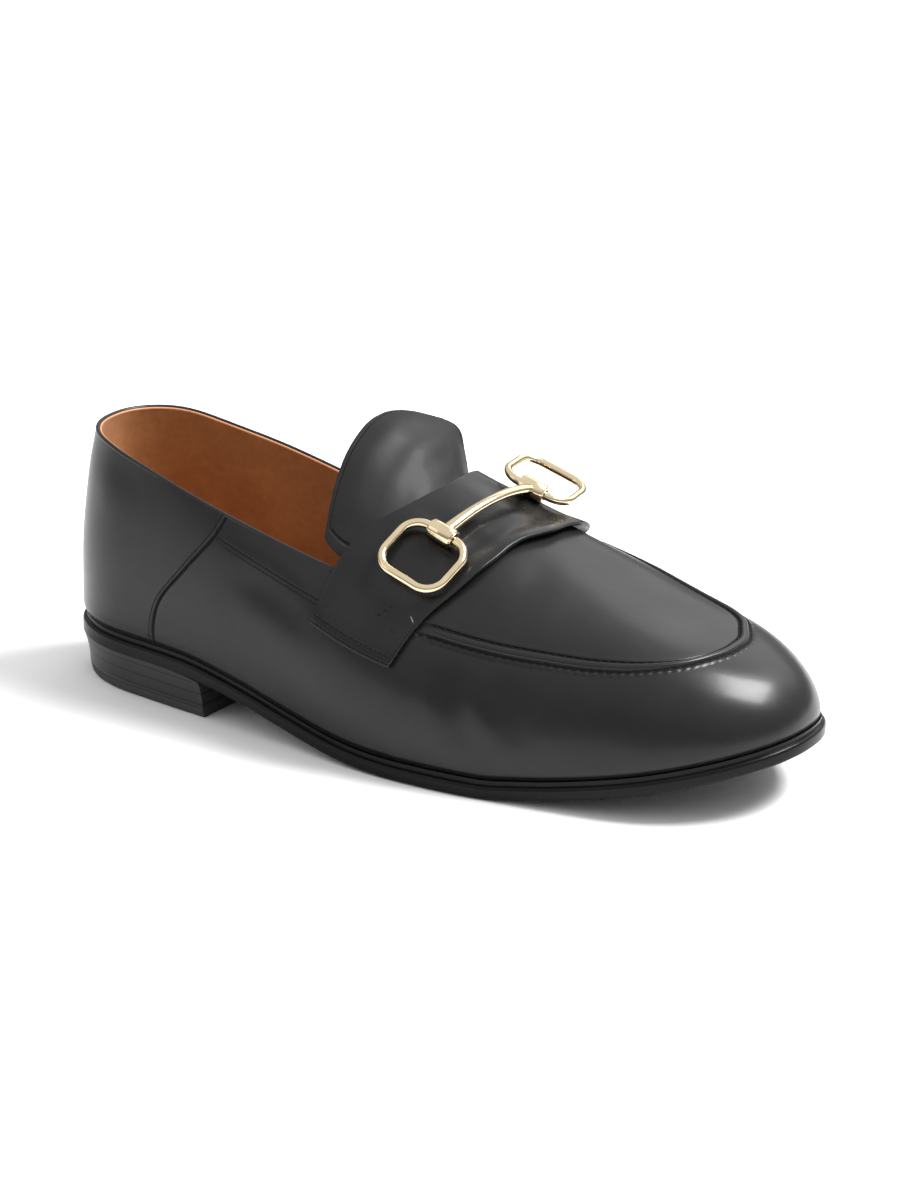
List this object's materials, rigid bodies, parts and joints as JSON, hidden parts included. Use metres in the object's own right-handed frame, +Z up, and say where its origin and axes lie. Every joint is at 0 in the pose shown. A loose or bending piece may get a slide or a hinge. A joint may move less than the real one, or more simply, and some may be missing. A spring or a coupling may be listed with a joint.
{
  "type": "loafer",
  "caption": "Black leather loafer with an apron toe, a saddle over the instep, a plain pale metal bar with two links, a tan lining and a low stacked heel. Right shoe.",
  "frame": {"origin": "middle of the flat bottom of the heel, 34 mm in from the back of the outsole", "axes": "+X to the toe along the length, +Y to the medial side, +Z up"},
  "size_m": [0.289, 0.1037, 0.1054],
  "materials": {
    "black_leather": "smooth calf, satin gloss",
    "tan_leather": "soft calf lining, matte",
    "sole_edge": "inked and polished edge",
    "black_rubber": "matte moulded rubber",
    "pale_gold": "polished pale gold plating"
  },
  "bodies": {
    "root": {"top_lift": "black_rubber", "heel_block": "sole_edge", "outsole": "sole_edge", "insole": "tan_leather", "upper": "black_leather", "saddle": "black_leather", "tongue": "black_leather", "ornament_bar": "pale_gold", "ornament_link_lateral": "pale_gold", "ornament_link_medial": "pale_gold"}
  },
  "joints": []
}
